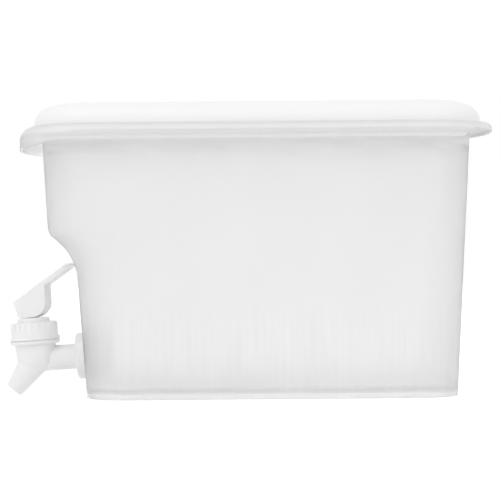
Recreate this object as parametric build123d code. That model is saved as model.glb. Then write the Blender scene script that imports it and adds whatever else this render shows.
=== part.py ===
"""Fridge water jug: a stepped translucent tank, its lid, and a flip-lever tap screwed through the wall.

Millimetres and degrees, +Z up. The origin is the middle of the foot's flat face. The tap end faces -X,
and the jug is the same on both sides of the XZ plane, apart from the lever's slight turn.
"""
from build123d import *
from math import atan2, cos, degrees, pi, radians, sin, sqrt, tan
import os

# Tank
tank_height = 165.6
base_length = 226.2
base_width = 106.0
base_corner = 26.0
mouth_corner = 28.0
side_draft = 2.7
back_draft = 2.95
lower_front_draft = 3.9
upper_front_draft = 3.0
step_height = 72.1
step_overhang = 16.2
hollow_radius = 34.0
brow_radius = 9.5
tank_wall = 1.8
floor_thickness = 2.0
foot_height = 3.4
foot_edge_round = 0.8
floor_round = 3.0
step_arc_spans = 5

# Rim of the tank: a flange that stands out from the mouth, with rounded shoulders and a lip that hangs
# deepest in front, as a grip
front_overhang = 16.2
back_overhang = 16.4
side_overhang = 9.2
rim_corner = 38.0
rim_bow = 150.0
rim_wall = 1.8
front_lip = 13.6
side_lip = 10.0
back_lip = 4.2
front_lip_run = 6.0
front_rise_run = 24.0
back_lip_run = 14.0
back_rise_run = 12.0
front_shoulder = 8.0
side_shoulder = 3.6
back_shoulder = 2.2
band_height = 4.8
band_step = 0.5
band_fall_run = 40.0
shoulder_angles = (0, 18, 34, 48, 60, 70, 79, 90)

# Lid
lid_front_margin = 8.9
lid_back_margin = 7.3
lid_side_margin = 6.6
lid_height = 13.4
lid_foot_height = 2.2
lid_edge_radius = 9.5
lid_edge_turn = 68.0
lid_wall = 1.8
lid_seat_gap = 0.2
plug_depth = 7.0
plug_wall = 1.6
plug_clearance = 0.4
edge_turn_shares = (0, 0.25, 0.5, 0.75, 1)
crown_turn_shares = (0.33, 0.67, 1)

# Tap: where it stands on the lower front wall, and its body
tap_height = 24.9
tap_reach = 32.2
chamber_radius = 12.1
chamber_top_radius = 12.7
chamber_top = 9.2
chamber_depth = 8.3
chamber_wall = 2.8
neck_radius = 11.3
neck_top = 15.6
seat_depth = 4.6
seat_radius = 6.4
seat_cone_height = 3.8
outlet_radius = 2.9
outlet_drop = 3.6
outlet_offset = 1.0
pipe_radius = 7.8
pipe_bore_radius = 4.0
wall_flange_radius = 14.3
wall_flange_thickness = 5.6
wall_flange_round = 2.0
tail_radius = 7.5
tail_end = 2.0
spout_start_depth = 1.5
spout_angle = 43.0
spout_length = 22.4
spout_end_radius = 5.45
spout_root_height = 9.45
spout_root_breadth = 11.4
spout_root_shift = 1.35
spout_edge_round = 0.6
mouth_radius = 3.9
thread_clearance = 0.3
hole_clearance = 0.2

# Gaskets and lock nut on the wall
outer_gasket_radius = 13.9
outer_gasket_thickness = 1.2
inner_gasket_radius = 12.6
inner_gasket_thickness = 2.0
nut_flange_radius = 13.4
nut_flange_thickness = 2.0
nut_width = 22.0
nut_height = 5.0

# Ring nut
ring_bottom_radius = 15.6
ring_top_radius = 14.6
ring_top = 23.2
ring_cap = 2.6
ring_gap = 0.1
bead_height = 2.4
bead_chamfer = 1.1
bead_groove_width = 0.5
bead_groove_depth = 0.7
collar_height = 2.2
rib_count = 22
rib_turn = 3.0
rib_depth = 0.8
rib_width = 2.6
rib_drop = 0.6

# Bonnet and its seal
bonnet_seal_thickness = 1.5
bonnet_seal_width = 1.9
boss_radius = 10.1
boss_top = 25.9
boss_round = 1.2
boss_clearance = 0.3
spigot_depth = 3.9
spigot_clearance = 0.3
spring_pocket_radius = 5.8
spring_pocket_depth = 2.0

# Valve stem, its sealing ring and the valve plug
stem_radius = 3.2
running_fit = 0.08
groove_height = 18.0
seal_ring_radius = 0.55
seal_fit = 0.05
collar_radius = 5.6
collar_thickness = 1.4
plug_pin_radius = 1.8
plug_pin_length = 1.6
plug_pin_fit = 0.05
valve_radius = 5.4
valve_thickness = 2.7
valve_gap = 0.3
valve_edge_round = 0.8

# Spring
wire_radius = 0.45
coil_radius = 4.6
coil_turns = 6
coil_end_gap = 0.15

# Lever
lever_turn = -13.0
lever_width = 12.6
lever_slot = 7.2
lever_rest_gap = 0.3
pivot_height = 7.8
trunnion_radius = 1.9
trunnion_socket = 1.3
trunnion_end_gap = 0.2
cheek_front = 9.8
cheek_lean = 14.4
heel_radius = 9.5
heel_reach = 10.8
arm_rise = 30.3
arm_top = 9.1
arm_thickness = 2.9
arm_reach = 27.4
arm_tip_round = 2.4
arm_corner_round = 4.5
lever_edge_round = 0.4
stem_sweep_clearance = 0.8
flip_range = 56.0
flip_lift_rate = 4.6
cam_clearance = 0.3
flip_shares = (0, 0.25, 0.5, 0.75, 1)

# One overrun for every cut that has to pass a face
overrun = 1.0

half_base = base_length / 2


def run(height, draft):
    """Sideways run of a drafted wall over a height."""
    return height * tan(radians(draft))


def step_arcs():
    """Centres of the two arcs that join the lower front wall to the upper one: the hollow, then the brow."""
    low, high = radians(lower_front_draft), radians(upper_front_draft)
    foot_x = -half_base - run(step_height, lower_front_draft)
    hollow_x = foot_x - hollow_radius * cos(low)
    hollow_z = step_height - hollow_radius * sin(low)
    brow_x = foot_x - step_overhang + brow_radius * cos(high)
    brow_z = step_height + brow_radius * sin(high)
    gap_x, gap_z = brow_x - hollow_x, brow_z - hollow_z
    half_b = gap_z * cos(high) - gap_x * sin(high)
    slide = -half_b + sqrt(half_b ** 2 - gap_x ** 2 - gap_z ** 2 + (hollow_radius + brow_radius) ** 2)
    return (hollow_x, hollow_z), (brow_x - slide * sin(high), brow_z + slide * cos(high))


hollow, brow = step_arcs()


def step_stations(inset=0):
    """Heights from the foot of the hollow to the top of the brow, for a wall inset square to itself."""
    low, high = radians(lower_front_draft), radians(upper_front_draft)
    meet = atan2(brow[1] - hollow[1], brow[0] - hollow[0])
    shares = [i / step_arc_spans for i in range(step_arc_spans + 1)]
    lower = [hollow[1] + (hollow_radius + inset) * sin(low + (meet - low) * s) for s in shares]
    upper = [brow[1] - (brow_radius - inset) * sin(meet + (high - meet) * s) for s in shares]
    return lower + upper[1:]


def front_x(z, inset=0):
    """X of the front wall at a height: lower wall, hollow, brow, upper wall."""
    low, high = radians(lower_front_draft), radians(upper_front_draft)
    stations = step_stations(inset)
    middle = stations[len(stations) // 2]
    if z <= stations[0]:
        return -half_base - run(z, lower_front_draft) + inset / cos(low)
    if z <= middle:
        return hollow[0] + sqrt((hollow_radius + inset) ** 2 - (z - hollow[1]) ** 2)
    if z < stations[-1]:
        return brow[0] - sqrt((brow_radius - inset) ** 2 - (z - brow[1]) ** 2)
    return brow[0] - (brow_radius - inset) / cos(high) - run(z - brow[1], upper_front_draft)


def oblong_end(end, way, half_width, corner, bow):
    """Corner centre, tangent point and mid-corner point, on the +Y side, of an oblong's end at X = end."""
    flat = half_width - corner
    centre, tangent = end - way * corner, (end, flat)
    if bow:
        bow_x = end - way * bow
        centre = bow_x + way * sqrt((bow - corner) ** 2 - flat ** 2)
        tangent = (bow_x + (centre - bow_x) * bow / (bow - corner), flat * bow / (bow - corner))
    half_turn = (atan2(tangent[1] - flat, way * (tangent[0] - centre)) + pi / 2) / 2
    middle = (centre + way * corner * cos(half_turn), flat + corner * sin(half_turn))
    return centre, tangent, middle


def oblong(front, back, half_width, corner, z, bow=None):
    """A face at height z with rounded corners and straight or bowed ends, the same on both sides of X."""
    fc, (fx, fy), (fmx, fmy) = oblong_end(front, -1, half_width, corner, bow)
    bc, (bx, by), (bmx, bmy) = oblong_end(back, 1, half_width, corner, bow)

    def end_edge(start, middle, stop):
        return ThreePointArc(start, middle, stop) if bow else Line(start, stop)

    edges = [
        end_edge((fx, fy, z), (front, 0, z), (fx, -fy, z)),
        ThreePointArc((fx, -fy, z), (fmx, -fmy, z), (fc, -half_width, z)),
        Line((fc, -half_width, z), (bc, -half_width, z)),
        ThreePointArc((bc, -half_width, z), (bmx, -bmy, z), (bx, -by, z)),
        end_edge((bx, -by, z), (back, 0, z), (bx, by, z)),
        ThreePointArc((bx, by, z), (bmx, bmy, z), (bc, half_width, z)),
        Line((bc, half_width, z), (fc, half_width, z)),
        ThreePointArc((fc, half_width, z), (fmx, fmy, z), (fx, fy, z)),
    ]
    return Face(Wire(edges))


def tank_section(z, inset=0):
    """The tank's outline at a height, inset square to its walls."""
    back = half_base + run(z, back_draft) - inset / cos(radians(back_draft))
    half_width = base_width / 2 + run(z, side_draft) - inset / cos(radians(side_draft))
    corner = base_corner + (mouth_corner - base_corner) * z / tank_height - inset
    return oblong(front_x(z, inset), back, half_width, corner, z)


def tank_block(bottom, top, inset=0):
    """A solid as wide as the tank, inset, between two heights: two drafted boxes and the lofted step."""
    stations = step_stations(inset)
    block = loft([tank_section(bottom, inset), tank_section(stations[0], inset)], ruled=True)
    block += loft([tank_section(z, inset) for z in stations])
    return block + loft([tank_section(stations[-1], inset), tank_section(top, inset)], ruled=True)


rim_front = -front_x(tank_height) + front_overhang
rim_back = half_base + run(tank_height, back_draft) + back_overhang
rim_half_width = base_width / 2 + run(tank_height, side_draft) + side_overhang


def shoulder_inset(z, radius, inset=0):
    """How far a rounded shoulder, inset, has turned in at a height."""
    climb = max(z - tank_height + radius, 0)
    turn = max(radius - inset, 0)
    return inset + turn - sqrt(max(turn ** 2 - climb ** 2, 0))


def rim_section(z, inset=0):
    """The rim's outline at a height: its shoulder is largest in front."""
    front = -rim_front + shoulder_inset(z, front_shoulder, inset)
    back = rim_back - shoulder_inset(z, back_shoulder, inset)
    side = shoulder_inset(z, side_shoulder, inset)
    return oblong(front, back, rim_half_width - side, rim_corner - side, z, rim_bow - inset)


def rim_block(bottom, inset=0):
    """A solid as wide as the rim, inset, from a height up to the top of the shoulders."""
    start = tank_height - front_shoulder
    turn = front_shoulder - inset
    stations = [start + turn * sin(radians(angle)) for angle in shoulder_angles]
    block = loft([rim_section(bottom, inset), rim_section(start, inset)], ruled=True)
    return block + loft([rim_section(z, inset) for z in stations])


def under_line(front_drop, side_drop, back_drop, front_run, front_rise, back_run, back_rise):
    """A slab over all the rim's width, below a side-view line that steps up from front to back."""
    front_z, side_z, back_z = (tank_height - drop for drop in (front_drop, side_drop, back_drop))
    far_front, far_back, low = -rim_front - overrun, rim_back + overrun, front_z - front_lip
    a, b = -rim_front + front_run, -rim_front + front_run + front_rise
    c, d = rim_back - back_run - back_rise, rim_back - back_run
    edges = [
        Line((far_front, low), (far_front, front_z)),
        Line((far_front, front_z), (a, front_z)),
        Spline((a, front_z), (b, side_z), tangents=[(1, 0), (1, 0)]),
        Line((b, side_z), (c, side_z)),
        Spline((c, side_z), (d, back_z), tangents=[(1, 0), (1, 0)]),
        Line((d, back_z), (far_back, back_z)),
        Line((far_back, back_z), (far_back, low)),
        Line((far_back, low), (far_front, low)),
    ]
    return extrude(Plane.XZ * Face(Wire(edges)), rim_half_width + overrun, both=True)


def rim():
    """The flange: a rounded band all round, and under it a lip set in a little from the band."""
    lip_bottom = tank_height - front_lip - overrun
    below_lip = under_line(front_lip, side_lip, back_lip, front_lip_run, front_rise_run,
                           back_lip_run, back_rise_run)
    below_band = under_line(front_lip, band_height, back_lip, front_lip_run, band_fall_run,
                            back_lip_run, back_rise_run)
    band = rim_block(lip_bottom) - below_band
    lip = rim_block(lip_bottom, band_step) - below_lip
    return band + lip - rim_block(lip_bottom - overrun, rim_wall)


def tank():
    """The moulded tank: drafted walls, stepped front, raised floor, rim, and the hole for the tap."""
    floor_top = foot_height + floor_thickness
    outside = tank_block(0, tank_height)
    foot = outside.faces().sort_by(Axis.Z)[0]
    outside = fillet(foot.edges(), foot_edge_round)
    inside = tank_block(floor_top, tank_height, tank_wall)
    inside = fillet(inside.faces().sort_by(Axis.Z)[0].edges(), floor_round)
    mouth = loft([tank_section(tank_height - front_lip, tank_wall),
                  tank_section(tank_height + overrun, tank_wall)], ruled=True)
    under_floor = loft([tank_section(-overrun, tank_wall), tank_section(foot_height, tank_wall)], ruled=True)
    tap_hole = along_x(tail_radius + hole_clearance, tap_reach - overrun, tank_wall + 2 * overrun)
    return outside + rim() - inside - mouth - under_floor - tap_place * tap_hole


def lid_stations(inset=0):
    """Pairs of height over the rim and inset of the lid's rounded edge: a tight arc, then a flat one."""
    turn = radians(lid_edge_turn)
    knee = lid_foot_height + lid_edge_radius * sin(turn)
    crown_radius = (lid_height - knee) / (1 - sin(turn))
    tight, flat = lid_edge_radius - inset, crown_radius - inset
    crown_run = lid_edge_radius * (1 - cos(turn)) + crown_radius * cos(turn)
    tight_angles = [turn * share for share in edge_turn_shares]
    flat_angles = [turn + (pi / 2 - turn) * share for share in crown_turn_shares]
    pairs = [(lid_foot_height + tight * sin(a), lid_edge_radius - tight * cos(a)) for a in tight_angles]
    crown_z = lid_height - crown_radius
    return pairs + [(crown_z + flat * sin(a), crown_run - flat * cos(a)) for a in flat_angles]


def lid_section(height, inset):
    """The lid's outline at a height over the rim, inset from its foot."""
    return oblong(lid_front_margin - rim_front + inset, rim_back - lid_back_margin - inset,
                  rim_half_width - lid_side_margin - inset, rim_corner - lid_side_margin - inset,
                  tank_height + height, rim_bow - lid_side_margin - inset)


def lid_block(bottom, inset=0):
    """A solid of the lid's outside, inset, from a height over the rim."""
    stations = lid_stations(inset)
    block = loft([lid_section(bottom, inset), lid_section(lid_foot_height, inset)], ruled=True)
    return block + loft([lid_section(*pair) for pair in stations])


def lid():
    """The lid: a shell whose foot rests on the rim, with a ring that plugs the tank's mouth."""
    inset = tank_wall + plug_clearance
    low, high = tank_height - plug_depth, tank_height + lid_height
    ring = loft([tank_section(low, inset), tank_section(high, inset)], ruled=True)
    ring -= loft([tank_section(low - overrun, inset + plug_wall),
                  tank_section(high + overrun, inset + plug_wall)], ruled=True)
    dome = lid_block(lid_seat_gap)
    above = lid_block(-plug_depth - overrun)
    return dome - lid_block(-overrun, lid_wall) + (ring & above)


# The tap has a frame of its own: X along the pipe towards the tank, Z up the stem, square to the wall.
wall_tilt = radians(lower_front_draft)
pipe_way = Vector(cos(wall_tilt), 0, sin(wall_tilt))
tap_origin = Vector(front_x(tap_height), 0, tap_height) - pipe_way * tap_reach
tap_place = Location(Plane(origin=tap_origin, x_dir=pipe_way, z_dir=(-sin(wall_tilt), 0, cos(wall_tilt))))
upright = (Align.CENTER, Align.CENTER, Align.MIN)


def post(radius, bottom, top):
    """A round post up the tap's own Z."""
    return Pos(0, 0, bottom) * Cylinder(radius, top - bottom, align=upright)


def along_x(radius, start, length):
    """A round bar along the tap's own X."""
    return Pos(start, 0, 0) * Rot(0, 90, 0) * Cylinder(radius, length, align=upright)


def bar_between(start, stop, start_radius, stop_radius):
    """A round bar, tapered or not, between two points of the tap's XZ plane."""
    dx, dz = stop[0] - start[0], stop[1] - start[1]
    turn = 90 - degrees(atan2(dz, dx))
    length = sqrt(dx ** 2 + dz ** 2)
    bar = Cylinder(start_radius, length, align=upright)
    if start_radius != stop_radius:
        bar = Cone(start_radius, stop_radius, length, align=upright)
    return Pos(start[0], 0, start[1]) * Rot(0, turn, 0) * bar


wall_flange_start = tap_reach - outer_gasket_thickness - wall_flange_thickness
inner_face = tap_reach + tank_wall
tail_length = inner_gasket_thickness + nut_flange_thickness + nut_height + tail_end
bonnet_bottom = neck_top + bonnet_seal_thickness
bonnet_flange_top = ring_top - ring_cap - ring_gap
spigot_bottom = bonnet_bottom - spigot_depth
spring_top = spigot_bottom + spring_pocket_depth
spout_way = (-sin(radians(spout_angle)), -cos(radians(spout_angle)))
spout_tip = (spout_way[0] * spout_length, spout_way[1] * spout_length - spout_start_depth)
spout_place = Location(Plane(origin=(0, 0, -spout_start_depth), x_dir=(spout_way[1], 0, -spout_way[0]),
                             z_dir=(spout_way[0], 0, spout_way[1])))


def chamber():
    """Outside of the valve chamber: a round cup under a neck, turned about the stem's axis."""
    edges = [
        Line((0, neck_top), (neck_radius, neck_top)),
        Line((neck_radius, neck_top), (neck_radius, chamber_top)),
        Line((neck_radius, chamber_top), (chamber_top_radius, chamber_top)),
        Line((chamber_top_radius, chamber_top), (chamber_radius, 0)),
        EllipticalCenterArc((0, 0), chamber_radius, chamber_depth, start_angle=270, arc_size=90),
        Line((0, -chamber_depth), (0, neck_top)),
    ]
    return revolve(Plane.XZ * Face(Wire(edges)), Axis.Z)


def spout():
    """Outside of the spout: an oval nearly as broad as the chamber, drawn down to its round mouth."""
    root = spout_place * Pos(spout_root_shift, 0, 0) * Ellipse(spout_root_height, spout_root_breadth)
    mouth = spout_place * Pos(0, 0, spout_length) * Circle(spout_end_radius)
    cone = loft([root, mouth], ruled=True)
    return fillet(cone.edges().sort_by(Axis.Z)[0], spout_edge_round)


def water_way():
    """The bores: in by the pipe, through the chamber, down past the seat and out by the spout."""
    chamber_bore = chamber_radius - chamber_wall
    elbow = (-outlet_offset, -seat_depth - outlet_drop)
    past_tip = tuple(spout_tip[i] + spout_way[i] * overrun for i in (0, 1))
    way = along_x(pipe_bore_radius, 0, inner_face + tail_length + overrun)
    way += post(chamber_bore, seat_cone_height - seat_depth, neck_top + overrun)
    way += Pos(0, 0, -seat_depth) * Cone(seat_radius, chamber_bore, seat_cone_height, align=upright)
    way += bar_between((0, -seat_depth + overrun / 2), elbow, outlet_radius, outlet_radius)
    way += Pos(elbow[0], 0, elbow[1]) * Sphere(outlet_radius)
    return way + bar_between(elbow, past_tip, outlet_radius, mouth_radius)


def tap_body():
    """One moulding: chamber, pipe with its wall flange and threaded tail, and the slanting spout."""
    flange = along_x(wall_flange_radius, wall_flange_start, wall_flange_thickness)
    flange = fillet(flange.edges().sort_by(Axis.X)[0], wall_flange_round)
    body = chamber() + spout()
    body += along_x(pipe_radius, 0, wall_flange_start + overrun)
    body += flange + along_x(tail_radius, wall_flange_start, tap_reach - wall_flange_start)
    body += along_x(tail_radius, tap_reach, tank_wall + tail_length)
    return tap_place * (body - water_way())


def washer(radius, start, thickness):
    """A flat rubber washer on the pipe's tail."""
    hole = along_x(tail_radius + hole_clearance, start - overrun, thickness + 2 * overrun)
    return tap_place * (along_x(radius, start, thickness) - hole)


def outer_gasket():
    return washer(outer_gasket_radius, tap_reach - outer_gasket_thickness, outer_gasket_thickness)


def inner_gasket():
    return washer(inner_gasket_radius, inner_face, inner_gasket_thickness)


def lock_nut():
    """The nut inside the tank: a round flange and six flats."""
    start = inner_face + inner_gasket_thickness
    length = nut_flange_thickness + nut_height
    hexagon = RegularPolygon(nut_width / 2, 6, major_radius=False)
    flats = Pos(start, 0, 0) * Rot(0, 90, 0) * extrude(hexagon, length)
    nut = along_x(nut_flange_radius, start, nut_flange_thickness) + flats
    bore = along_x(tail_radius + thread_clearance, start - overrun, length + 2 * overrun)
    return tap_place * (nut - bore)


def ring_nut():
    """The ribbed ring that screws on the neck and holds the bonnet down."""
    bottom = chamber_top + ring_gap
    bead_top = bottom + bead_height
    smooth_top = bead_top + collar_height
    ribs_top = ring_top - rib_drop
    core = Cone(ring_bottom_radius - rib_depth, ring_top_radius - rib_depth, ring_top - smooth_top,
                align=upright)
    bead = post(ring_bottom_radius, bottom, smooth_top)
    bead = chamfer(bead.edges().sort_by(Axis.Z)[0], bead_chamfer)
    groove = post(ring_bottom_radius + overrun, bead_top, bead_top + bead_groove_width)
    bead -= groove - post(ring_bottom_radius - bead_groove_depth, bottom, smooth_top)
    envelope = Cone(ring_bottom_radius, ring_top_radius, ribs_top - smooth_top, align=upright)
    rib = Box(2 * rib_depth, rib_width, ribs_top - smooth_top, align=upright)
    rib = Pos(ring_top_radius - rib_depth, 0, 0) * rib
    ribs = [Rot(0, 0, rib_turn + 360 * i / rib_count) * rib & envelope for i in range(rib_count)]
    ring = bead + Pos(0, 0, smooth_top) * (core + ribs)
    ring -= post(neck_radius + thread_clearance, bottom - overrun, ring_top - ring_cap)
    return tap_place * (ring - post(boss_radius + boss_clearance, bottom, ring_top + overrun))


def bonnet():
    """The cap over the chamber: a flange under the ring nut, a boss for the lever, a guide for the stem."""
    boss = post(boss_radius, bonnet_bottom, boss_top)
    boss = fillet(boss.edges().sort_by(Axis.Z)[-1], boss_round)
    spigot_radius = chamber_radius - chamber_wall - spigot_clearance
    cap = boss + post(neck_radius, bonnet_bottom, bonnet_flange_top)
    cap += post(spigot_radius, spigot_bottom, bonnet_bottom)
    cap -= post(stem_radius + running_fit, spigot_bottom - overrun, boss_top + overrun)
    return tap_place * (cap - post(spring_pocket_radius, spigot_bottom - overrun, spring_top))


def bonnet_seal():
    """The flat ring squeezed between the neck and the bonnet."""
    inner = neck_radius - bonnet_seal_width
    ring = post(neck_radius, neck_top, bonnet_bottom)
    return tap_place * (ring - post(inner, neck_top - overrun, bonnet_bottom + overrun))


valve_bottom = valve_gap - seat_depth
valve_top = valve_bottom + valve_thickness
collar_top = valve_top + collar_thickness
pivot_z = boss_top + pivot_height
groove_radius = stem_radius + running_fit - seal_fit - 2 * seal_ring_radius
lever_place = tap_place * Pos(0, 0, pivot_z) * Rot(0, 0, lever_turn)


def valve_plug():
    """The soft disc that closes the seat, pushed on the stem's pin."""
    disc = post(valve_radius, valve_bottom, valve_top)
    disc = fillet(disc.edges().sort_by(Axis.Z)[0], valve_edge_round)
    socket = post(plug_pin_radius + plug_pin_fit, valve_top - plug_pin_length, valve_top + overrun)
    return tap_place * (disc - socket)


def valve_stem():
    """The stem: pin, spring collar, rod with a groove for its sealing ring, and two trunnions."""
    rod = post(plug_pin_radius, valve_top - plug_pin_length, valve_top)
    rod += post(collar_radius, valve_top, collar_top)
    rod += post(stem_radius, valve_top, pivot_z) + Pos(0, 0, pivot_z) * Sphere(stem_radius)
    groove = post(stem_radius + overrun, groove_height - seal_ring_radius, groove_height + seal_ring_radius)
    rod -= groove - post(groove_radius, groove_height - overrun, groove_height + overrun)
    half_span = lever_slot / 2 + trunnion_socket - trunnion_end_gap
    trunnions = Rot(90, 0, 0) * Cylinder(trunnion_radius, 2 * half_span)
    return tap_place * rod + lever_place * trunnions


def stem_ring():
    """The sealing ring in the stem's groove."""
    return tap_place * (Pos(0, 0, groove_height) * Torus(groove_radius + seal_ring_radius, seal_ring_radius))


def spring():
    """The spring that holds the valve shut, between the collar and the bonnet's pocket."""
    bottom = collar_top + wire_radius + coil_end_gap
    top = spring_top - wire_radius - coil_end_gap
    path = Helix((top - bottom) / coil_turns, top - bottom, coil_radius)
    wire = sweep(Plane(origin=path @ 0, z_dir=path % 0) * Circle(wire_radius), path)
    return tap_place * (Pos(0, 0, bottom) * wire)


def arm_line(a, below=0):
    """Height of the arm's top over the pivot, at a distance a along the lever, less a thickness."""
    return arm_top + run(a, arm_rise) - below / cos(radians(arm_rise))


def lever_outline():
    """Side view of the lever about its pivot: cheek with a flat foot and round heel, and the arm."""
    foot = lever_rest_gap - pivot_height
    heel_a, heel_z = heel_reach - heel_radius, foot + heel_radius
    lean = radians(cheek_lean)
    corner_a = -cheek_front - foot * tan(lean)
    nose_a = -(cheek_front + arm_top * tan(lean)) / (1 + tan(lean) * tan(radians(arm_rise)))
    tip_a = arm_reach + arm_thickness * sin(radians(arm_rise))
    turn = heel_radius / sqrt(2)
    edges = [
        Line((corner_a, foot), (heel_a, foot)),
        ThreePointArc((heel_a, foot), (heel_a + turn, heel_z - turn), (heel_reach, heel_z)),
        Line((heel_reach, heel_z), (heel_reach, arm_line(heel_reach, arm_thickness))),
        Line((heel_reach, arm_line(heel_reach, arm_thickness)), (tip_a, arm_line(tip_a, arm_thickness))),
        Line((tip_a, arm_line(tip_a, arm_thickness)), (arm_reach, arm_line(arm_reach))),
        Line((arm_reach, arm_line(arm_reach)), (nose_a, arm_line(nose_a))),
        Line((nose_a, arm_line(nose_a)), (corner_a, foot)),
    ]
    face = Face(Wire(edges))
    top_corner = face.vertices().sort_by(Axis.Y)[-1]
    return face.fillet_2d(arm_tip_round, [top_corner])


def cam_limit():
    """Side view of the room above the bonnet, as the turning lever sees it while the stem rises with it."""
    reach = arm_reach + pivot_height + arm_top
    rate = flip_lift_rate
    points = []
    for share in flip_shares:
        turn = radians(flip_range * share)
        drop = pivot_height - cam_clearance + rate * turn
        points.append((-drop * sin(turn) - rate * cos(turn), -drop * cos(turn) + rate * sin(turn)))
    (low_a, low_h), (high_a, high_h) = points[0], points[-1]
    edges = [
        Spline(*points),
        Line((high_a, high_h), (high_a, reach)),
        Line((high_a, reach), (reach, reach)),
        Line((reach, reach), (reach, low_h)),
        Line((reach, low_h), (low_a, low_h)),
    ]
    return Face(Wire(edges))


def stem_sweep():
    """Side view of the slot that the stem needs while the lever turns about it."""
    clear = stem_radius + stem_sweep_clearance
    turn = radians(flip_range)
    reach = cheek_front + pivot_height
    upper = (-clear * cos(turn), clear * sin(turn))
    far = (upper[0] - reach * sin(turn), upper[1] - reach * cos(turn))
    slot = Polygon((clear, 0), upper, far, (far[0], -reach), (clear, -reach), align=None)
    return slot + Circle(clear)


def lever():
    """The flip lever: two cheeks round the stem's head, joined by a solid heel and the arm."""
    half_width = lever_width / 2
    body = extrude(Plane.XZ * (lever_outline() & cam_limit()), half_width, both=True)
    tip = body.bounding_box().max.X
    length = tip + cheek_front + pivot_height
    plan = Pos(tip - length / 2, 0, -pivot_height) * RectangleRounded(length, lever_width, arm_corner_round)
    body &= extrude(plan, pivot_height + arm_reach + arm_top)
    sides = body.faces().filter_by(Axis.Y).sort_by(Axis.Y)
    body = fillet(sides[0].edges() + sides[-1].edges(), lever_edge_round)
    slot = extrude(Plane.XZ * stem_sweep(), lever_slot / 2, both=True)
    sockets = Rot(90, 0, 0) * Cylinder(trunnion_radius + running_fit, lever_slot + 2 * trunnion_socket)
    return lever_place * (body - slot - sockets)


os.makedirs("parts", exist_ok=True)
pieces = {
    "tank": tank, "lid": lid, "tap_body": tap_body, "outer_gasket": outer_gasket,
    "inner_gasket": inner_gasket, "lock_nut": lock_nut, "ring_nut": ring_nut, "bonnet": bonnet,
    "bonnet_seal": bonnet_seal, "valve_stem": valve_stem, "stem_ring": stem_ring,
    "valve_plug": valve_plug, "spring": spring, "lever": lever,
}
for name, make in pieces.items():
    export_step(make(), f"parts/{name}.step")
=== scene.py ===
"""The looks of a fridge water jug with a flip-lever tap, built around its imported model. Metres, +Z up."""
from math import pi, radians

import bmesh
import bpy
from mathutils import Matrix, Vector


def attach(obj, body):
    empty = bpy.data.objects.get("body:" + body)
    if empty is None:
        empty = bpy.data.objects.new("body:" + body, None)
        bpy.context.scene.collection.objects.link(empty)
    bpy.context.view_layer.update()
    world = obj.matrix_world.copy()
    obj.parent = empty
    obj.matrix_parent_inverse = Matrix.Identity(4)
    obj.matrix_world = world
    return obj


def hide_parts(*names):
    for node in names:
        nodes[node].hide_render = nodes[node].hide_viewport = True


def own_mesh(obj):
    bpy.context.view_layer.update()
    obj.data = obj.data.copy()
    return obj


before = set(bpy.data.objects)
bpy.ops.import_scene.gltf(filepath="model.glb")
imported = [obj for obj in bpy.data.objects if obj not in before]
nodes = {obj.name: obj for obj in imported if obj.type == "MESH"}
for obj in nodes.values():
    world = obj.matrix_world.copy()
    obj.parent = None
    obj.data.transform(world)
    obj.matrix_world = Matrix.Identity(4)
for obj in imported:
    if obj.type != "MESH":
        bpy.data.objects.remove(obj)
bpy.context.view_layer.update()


# The tank is one moulding of natural polypropylene, about 2 mm thick. It is frosted rather than clear:
# light comes through it, but what is inside shows only as a soft shadow. Its walls have a fine eggshell
# texture from the mould, and faint upright flow marks low down, where the plastic ran in.
class Socket:
    """An output in a material's nodes. Arithmetic on it adds Math nodes."""

    def __init__(self, tree, out=None):
        self.tree, self.out = tree, out

    def node(self, kind, settings, values, output=0):
        """A new node's output. Its settings come first, then its sockets' values or links."""
        made = self.tree.nodes.new(kind)
        for name, setting in settings.items():
            setattr(made, name, setting)
        for name, value in values.items():
            if isinstance(value, Socket):
                self.tree.links.new(value.out, made.inputs[name])
            else:
                made.inputs[name].default_value = value
        return Socket(self.tree, made.outputs[output])

    def maths(self, operation, *values):
        return self.node("ShaderNodeMath", {"operation": operation}, dict(enumerate(values)))

    def __add__(self, other):
        return self.maths("ADD", self, other)

    def __sub__(self, other):
        return self.maths("SUBTRACT", self, other)

    def __rsub__(self, other):
        return self.maths("SUBTRACT", other, self)

    def __mul__(self, other):
        return self.maths("MULTIPLY", self, other)

    __radd__, __rmul__ = __add__, __mul__

    def between(self, low, high):
        """0 below low, 1 above high, smooth between."""
        return self.node("ShaderNodeMapRange", {"interpolation_type": "SMOOTHSTEP"},
                         {"Value": self, "From Min": low, "From Max": high})

    def noise(self, size, detail=2.0, stretch=(1, 1, 1)):
        """Noise over this position, with blobs about that many metres across, drawn out by stretch."""
        scale = tuple(1 / (size * share) for share in stretch)
        scaled = self.node("ShaderNodeMapping", {}, {"Vector": self, "Scale": scale})
        return self.node("ShaderNodeTexNoise", {}, {"Vector": scaled, "Scale": 1.0, "Detail": detail})

    def tint(self, dark, light):
        """The colour between two others at this share."""
        return self.node("ShaderNodeMix", {"data_type": "RGBA"}, {0: self, 6: (*dark, 1), 7: (*light, 1)}, 2)

    def bump(self, depth):
        """A normal bent by this height, where a height of 1 is depth metres."""
        return self.node("ShaderNodeBump", {}, {"Height": self, "Distance": depth})


def grey(shade):
    return shade, shade, shade


def new_finish(name, **constants):
    """A material with a Principled shader: the material, its position socket and its shader node."""
    material = bpy.data.materials.new(name)
    material.use_nodes = True
    shader = material.node_tree.nodes["Principled BSDF"]
    for socket, value in constants.items():
        shader.inputs[socket.replace("_", " ")].default_value = value
    place = Socket(material.node_tree).node("ShaderNodeTexCoord", {}, {}, "Object")
    return material, place, shader


def drive(shader, **sockets):
    """Links sockets to a node's inputs."""
    for name, socket in sockets.items():
        socket.tree.links.new(socket.out, shader.inputs[name.replace("_", " ")])


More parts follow.
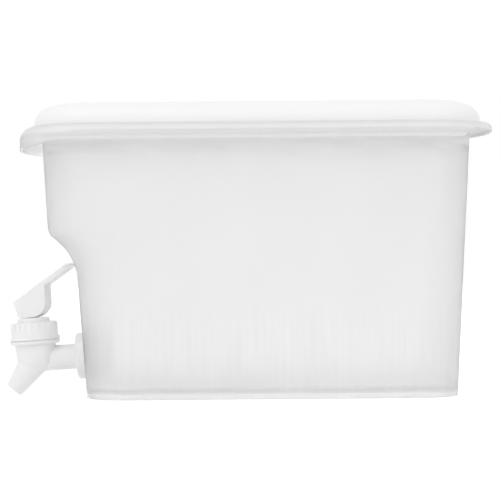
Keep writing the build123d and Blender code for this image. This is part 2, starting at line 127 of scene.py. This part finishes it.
def wear(material, *names):
    """Gives CAD nodes a finish."""
    for name in names:
        nodes[name].data.materials.clear()
        nodes[name].data.materials.append(material)


# Each pair is where a change begins and ends: in X for rim_front, and in height for the others.
flow_fade, rim_start, rim_front = (0.04, 0.065), (0.146, 0.158), (-0.158, -0.125)
foot_fade, floor_start, floor_fade = (0.004, 0.014), (0.0022, 0.0036), (0.0050, 0.0085)
flow_width, flow_stretch = 0.0024, (1, 1, 30)
frosted, place, shader = new_finish("frosted_polypropylene", Transmission_Weight=0.9, IOR=1.15,
                                    Specular_IOR_Level=0.4)
height = place.node("ShaderNodeSeparateXYZ", {}, {"Vector": place}, "Z")
flow = (place.noise(flow_width, 1.0, flow_stretch) - 0.5) * (1 - height.between(*flow_fade))
rim = height.between(*rim_start)
in_front = 1 - place.node("ShaderNodeSeparateXYZ", {}, {"Vector": place}, "X").between(*rim_front)
half_in_front = 1 - 0.5 * in_front
foot = 1 - height.between(*foot_fade)
floor_edge = height.between(*floor_start) * (1 - height.between(*floor_fade))
# Painted light: the rim's colour is made lighter than the walls', standing in for the light that comes
# through the folded rim. The rest is the plastic's random tone and its flow marks.
tone_marks_and_painted_rim_light = 0.33 + 0.3 * (place.noise(0.05) - 0.5) + 1.6 * flow + 0.67 * rim
drive(shader,
      Base_Color=tone_marks_and_painted_rim_light.tint(grey(0.9), grey(0.99)),
      Roughness=0.56 + 0.12 * place.noise(0.012),
      Alpha=1 - 0.78 * rim * half_in_front - 0.5 * floor_edge,
      Normal=(place.noise(0.0009, 1.0) + 0.6 * flow).bump(0.00006))

# The rim and the foot are thicker, so they are milkier than the walls.
rim_milk_start, lip_milk_start = (0.152, 0.157), (0.158, 0.162)
rim_milk, foot_milk = 0.35, 0.2
milky = (rim_milk * height.between(*rim_milk_start) * half_in_front
         + rim_milk * height.between(*lip_milk_start) + foot_milk * foot)
clear = Socket(place.tree, shader.outputs["BSDF"])
milk = place.node("ShaderNodeBsdfPrincipled", {},
                  {"Base Color": place.noise(0.03).tint(grey(0.9), grey(0.94)), "Roughness": 0.5})
drive(frosted.node_tree.nodes["Material Output"],
      Surface=place.node("ShaderNodeMixShader", {}, {0: milky, 1: clear, 2: milk}),
      Volume=place.node("ShaderNodeVolumeAbsorption", {}, {"Color": (*grey(0.9), 1), "Density": 80.0}))
wear(frosted, "tank")


# The lid is a shallow white shell of filled polypropylene, moulded with a satin face. It drops over the
# tank's rim on a ring that plugs the mouth.
plastic_ior = 1.49
lid_white, place, shader = new_finish("lid_white", IOR=plastic_ior)
drive(shader,
      Base_Color=place.noise(0.06).tint(grey(0.892), grey(0.905)),
      Roughness=0.34 + 0.08 * place.noise(0.01),
      Normal=place.noise(0.0008, 1.0).bump(0.00003))
wear(lid_white, "lid")


# The tap's mouldings and the lock nut are harder white plastic, a little greyer than the lid, with a smooth
# semi-gloss face.
tap_white, place, shader = new_finish("tap_white", IOR=plastic_ior)
drive(shader,
      Base_Color=place.noise(0.01).tint(grey(0.865), grey(0.89)),
      Roughness=0.30 + 0.10 * place.noise(0.004),
      Normal=place.noise(0.0006, 1.0).bump(0.00002))
wear(tap_white, "tap_body", "bonnet", "lever", "valve_stem", "lock_nut")


# The ring nut is the same plastic. Painted shade darkens its colour in the groove over its bead and,
# faintly, between its ribs, where shade falls in those recesses; the groove is also rougher. Both are found
# by their place along the tap's axis and their distance from it.
tap_middle, tap_axis = (-0.146923, 0, 0.02271), (-0.068015, 0, 0.997684)
groove_bottom, groove_top = 0.0117, 0.0122
ribs_bottom, ribs_top, ring_taper = 0.0139, 0.0226, 0.11
gap_floor, rib_crest = 0.01635, 0.01705
edge_blur = 0.0001
ring_white, place, shader = new_finish("ring_white", IOR=plastic_ior)
from_tap = place.node("ShaderNodeVectorMath", {"operation": "SUBTRACT"}, {0: place, 1: tap_middle})
along = place.node("ShaderNodeVectorMath", {"operation": "DOT_PRODUCT"}, {0: from_tap, 1: tap_axis}, "Value")
across = place.node("ShaderNodeVectorMath", {"operation": "CROSS_PRODUCT"}, {0: from_tap, 1: tap_axis})
away = place.node("ShaderNodeVectorMath", {"operation": "LENGTH"}, {0: across}, "Value")


def on_ring(bottom, top):
    """1 between these two places along the tap's axis, and 0 outside them."""
    return along.between(bottom - edge_blur, bottom) - along.between(top, top + edge_blur)


in_groove = on_ring(groove_bottom, groove_top)
in_gap = (1 - (away + ring_taper * along).between(gap_floor, rib_crest)) * on_ring(ribs_bottom, ribs_top)
# Painted shade: the colour is darker in the bead's groove and a little between the ribs; the rest is random
# tone.
ring_tone_and_painted_shade = 1 - 0.2 * in_groove - 0.03 * in_gap - 0.05 * place.noise(0.01)
drive(shader,
      Base_Color=ring_tone_and_painted_shade.tint(grey(0.3), grey(0.92)),
      Roughness=0.30 + 0.10 * place.noise(0.004) + 0.2 * in_groove,
      Normal=place.noise(0.0006, 1.0).bump(0.00002))
wear(ring_white, "ring_nut")


# The seals are soft pale silicone: two washers that clamp the wall, one under the bonnet, one on the stem,
# and the disc that closes the valve.
silicone, place, shader = new_finish("silicone", Subsurface_Weight=0.2, Subsurface_Scale=0.002)
drive(shader,
      Base_Color=place.noise(0.005).tint((0.83, 0.83, 0.82), (0.87, 0.87, 0.86)),
      Roughness=0.5 + 0.1 * place.noise(0.002),
      Normal=place.noise(0.0005).bump(0.00002))
wear(silicone, "outer_gasket", "inner_gasket", "bonnet_seal", "stem_ring", "valve_plug")


# The spring is drawn stainless wire, coiled round the stem. It sits hidden in the bonnet, presses on the
# stem's collar and so holds the valve shut. In the real tap it gets shorter as the stem rises; the coil made
# here keeps one length.
wire_radius, wire_sides = 0.00045, 12
coil_radius, coil_bottom, coil_top = 0.0046, 0.0004, 0.0146
coil_turns, steps_a_turn = 6, 28
coil_steps, coil_height = coil_turns * steps_a_turn, coil_top - coil_bottom
coil = bmesh.new()
wire_end = Matrix.Translation((coil_radius, 0, coil_bottom)) @ Matrix.Rotation(pi / 2, 4, "X")
bmesh.ops.create_circle(coil, segments=wire_sides, radius=wire_radius, matrix=wire_end)
bmesh.ops.spin(coil, geom=coil.verts[:] + coil.edges[:], cent=(0, 0, 0), axis=(0, 0, 1),
               angle=2 * pi * coil_turns, dvec=(0, 0, coil_height / coil_steps), steps=coil_steps)
bmesh.ops.holes_fill(coil, edges=[edge for edge in coil.edges if edge.is_boundary])
bmesh.ops.recalc_face_normals(coil, faces=coil.faces)
tap_lean = Vector((0, 0, 1)).rotation_difference(Vector(tap_axis))
tap_place = Matrix.Translation(tap_middle) @ tap_lean.to_matrix().to_4x4()
coil.transform(tap_place)
coil_mesh = bpy.data.meshes.new("closing_spring")
coil.to_mesh(coil_mesh)
coil.free()
coil_mesh.shade_smooth()
closing_spring = bpy.data.objects.new("closing_spring", coil_mesh)
bpy.context.scene.collection.objects.link(closing_spring)
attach(closing_spring, "swivel")
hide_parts("spring")
tap_place @ Vector((0, 0, coil_top + wire_radius))
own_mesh(closing_spring)
spring_wire, place, shader = new_finish("spring_wire", Metallic=1.0)
drive(shader,
      Base_Color=place.noise(0.001).tint((0.56, 0.56, 0.57), (0.66, 0.66, 0.66)),
      Roughness=0.25 + 0.1 * place.noise(0.0008))
coil_mesh.materials.append(spring_wire)


# The studio: a pale floor that keeps the jug's soft shadow, a white surround, and two soft boxes on the
# camera's side, the stronger one on the tap's side.
def seen(first):
    """1 for the camera's rays, straight or by way of gloss or the frosted walls, and 0 for the rest."""
    kinds = "Camera", "Glossy", "Transmission"
    straight, by_gloss, through = (
        first.node("ShaderNodeLightPath", {}, {}, f"Is {kind} Ray") for kind in kinds)
    return (straight + by_gloss + through).between(0, 1)


world = bpy.data.worlds.new("surround")
bpy.context.scene.world = world
world.use_nodes = True
surround_light = 0.88
surround = world.node_tree.nodes["Background"]
surround.inputs["Color"].default_value = (*grey(1), 1)
drive(surround, Strength=surround_light + (1 - surround_light) * seen(Socket(world.node_tree)))

floor_size, floor_shade, floor_shade_seen = 12.0, 0.45, 0.66
bpy.ops.mesh.primitive_plane_add(size=floor_size)
floor = bpy.context.object
floor.name = "floor"
floor_finish, place, shader = new_finish("floor", Base_Color=(*grey(floor_shade), 1), Roughness=0.9,
                                         Specular_IOR_Level=0.1, Emission_Strength=1.0)
drive(shader, Emission_Color=seen(place).tint(grey(floor_shade), grey(floor_shade_seen)))
floor.data.materials.append(floor_finish)

softbox_width, softbox_height = 0.9, 1.4
jug_middle = Vector((0, 0, 0.09))
for name, spot, watts in (("left_lamp", (-0.9, -1.4, 1.6), 6.5), ("right_lamp", (1.2, -1.6, 1.1), 2.5)):
    softbox = bpy.data.lights.new(name, "AREA")
    softbox.shape, softbox.energy = "RECTANGLE", watts
    softbox.size, softbox.size_y = softbox_width, softbox_height
    lamp = bpy.data.objects.new(name, softbox)
    lamp.location = spot
    lamp.rotation_euler = (jug_middle - lamp.location).to_track_quat("-Z", "Y").to_euler()
    # The right one would otherwise turn the lid white where it is mirrored there, seen from behind.
    lamp.visible_glossy = name == "left_lamp"
    bpy.context.scene.collection.objects.link(lamp)

# The camera stands level with the jug's middle, square to its side.
picture_width, focal_pixels, sensor_width = 500, 1951, 36.0
camera_place, look_up, roll = (-0.0129, -1.220, 0.081), radians(0.41), radians(-0.487)
camera = bpy.data.cameras.new("camera")
camera.sensor_width = sensor_width
camera.lens = sensor_width * focal_pixels / picture_width
viewer = bpy.data.objects.new("camera", camera)
viewer.matrix_world = (Matrix.Translation(camera_place) @ Matrix.Rotation(pi / 2 + look_up, 4, "X")
                       @ Matrix.Rotation(roll, 4, "Z"))
bpy.context.scene.collection.objects.link(viewer)
bpy.context.scene.camera = viewer
bpy.context.scene.view_settings.view_transform = "Standard"
